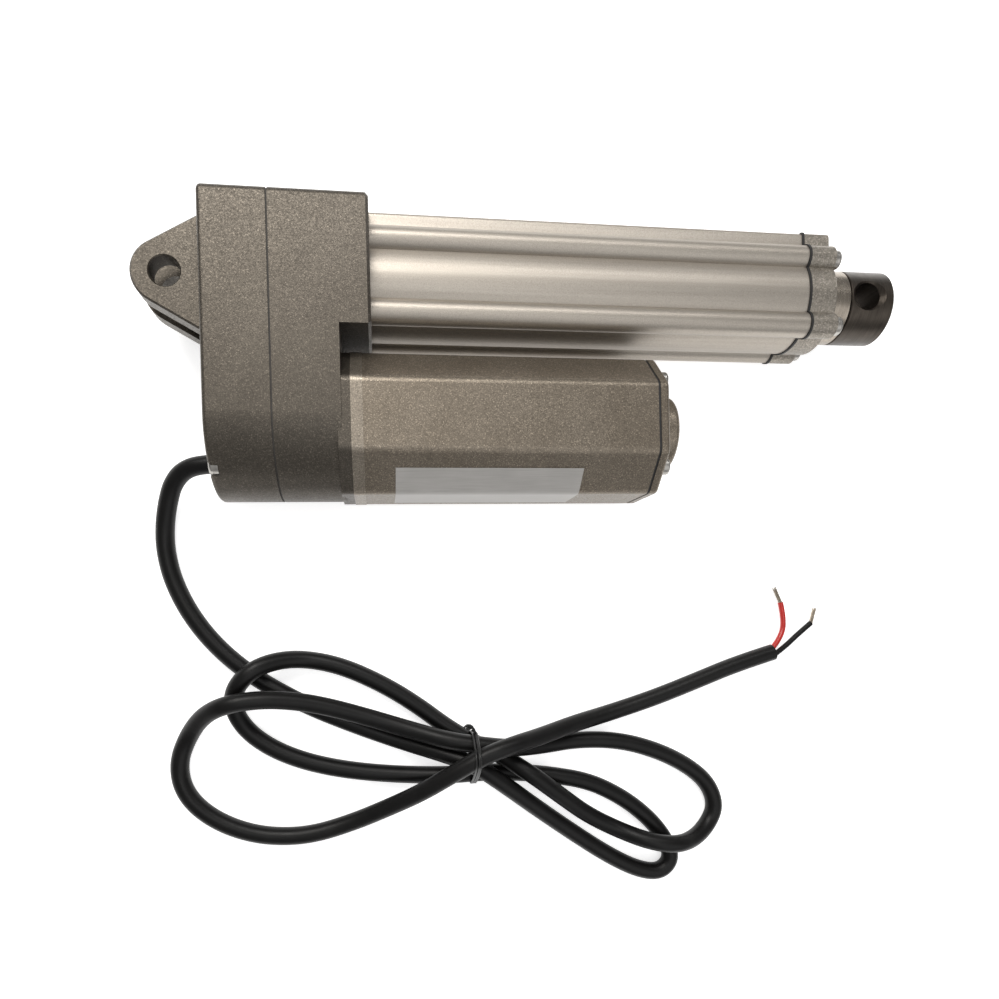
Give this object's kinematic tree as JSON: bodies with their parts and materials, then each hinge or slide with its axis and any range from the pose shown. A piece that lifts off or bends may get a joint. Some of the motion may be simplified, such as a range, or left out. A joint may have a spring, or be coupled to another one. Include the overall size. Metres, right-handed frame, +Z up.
{
  "type": "linear actuator",
  "caption": "Electric linear actuator: a side motor drives a geared lead screw that pushes a round rod out of its tube, with a rear clevis and a coiled, tied cord.",
  "frame": {"origin": "centre of the rear clevis bore", "axes": "+X along the rod towards the rod end, +Y from the motor to the tube, +Z up from the surface the actuator lies on"},
  "size_m": [0.2251, 0.2023, 0.04],
  "materials": {
    "casting": "sand-cast and painted metallic taupe, fine sparkle",
    "tube": "extruded, champagne anodised, fine satin",
    "steel": "bright zinc",
    "ground_steel": "ground",
    "rod_steel": "polished, warm grey",
    "dark_steel": "black oxide, satin",
    "gasket": "matt",
    "black_plastic": "moulded",
    "bronze": "sintered",
    "gear_plastic": "moulded",
    "winding": "enamelled copper",
    "copper": "turned copper",
    "magnet": "ferrite",
    "board": "lacquered board",
    "plate": "satin silver, blank",
    "cord_black": "soft PVC",
    "core_red": "PVC insulation",
    "tinned": "tinned copper strands"
  },
  "bodies": {
    "housing": {"rear_cover": "casting", "housing_gasket": "gasket", "gear_housing": "casting", "housing_screws": "steel", "cord_gland": "black_plastic", "idler_pin": "ground_steel", "journal_bush": "bronze", "bearing_outer_ring": "ground_steel", "bearing_balls": "ground_steel", "bearing_clip": "dark_steel", "outer_tube": "tube", "tube_gasket": "gasket", "front_cap": "casting", "cap_screws": "steel", "rod_wiper": "gasket", "rod_guide": "bronze", "switch_board": "board", "limit_switches": "black_plastic", "motor_flange": "tube", "flange_screws": "steel", "motor_cover": "casting", "motor_gasket": "gasket", "motor_end_cap": "casting", "motor_screws": "steel", "motor_can": "steel", "motor_front_bush": "bronze", "motor_rear_bush": "bronze", "motor_magnets": "magnet", "brush_holder": "black_plastic", "brushes": "magnet", "name_plate": "plate", "cord": "cord_black", "red_core": "core_red", "black_core": "cord_black", "red_strands": "tinned", "black_strands": "tinned", "twist_tie": "black_plastic"},
    "screw": {"lead_screw": "ground_steel", "screw_gear": "gear_plastic", "bearing_inner_ring": "ground_steel", "screw_collar": "steel"},
    "idler": {"idler_wheel": "gear_plastic", "idler_pinion": "steel"},
    "rotor": {"motor_pinion": "steel", "motor_shaft": "ground_steel", "armature": "steel", "armature_windings": "winding", "commutator": "copper"},
    "rod": {"rod_tube": "rod_steel", "drive_nut": "gear_plastic", "switch_cam": "black_plastic", "rod_end": "dark_steel", "rod_pin": "steel"}
  },
  "joints": [
    {"name": "motor_spin", "type": "hinge", "parent": "housing", "child": "rotor", "pos_m": [0.06, -0.0404, 0], "axis": [-1, 0, 0], "range_deg": [0, 103704]},
    {"name": "idler_spin", "type": "hinge", "parent": "housing", "child": "idler", "pos_m": [0.02, -0.0204, 0], "axis": [-1, 0, 0], "range_deg": [-29250, 0]},
    {"name": "screw_spin", "type": "hinge", "parent": "housing", "child": "screw", "pos_m": [0.03, 0, 0], "axis": [-1, 0, 0], "range_deg": [0, 9000]},
    {"name": "rod_slide", "type": "slide", "parent": "housing", "child": "rod", "axis": [1, 0, 0], "range_m": [0, 0.1]}
  ],
  "couplings": [
    {"joint": "idler_spin", "follows": "motor_spin", "ratio": -0.28205},
    {"joint": "screw_spin", "follows": "motor_spin", "ratio": 0.086785},
    {"joint": "rod_slide", "follows": "motor_spin", "m_per_rad": 0.000055249}
  ]
}
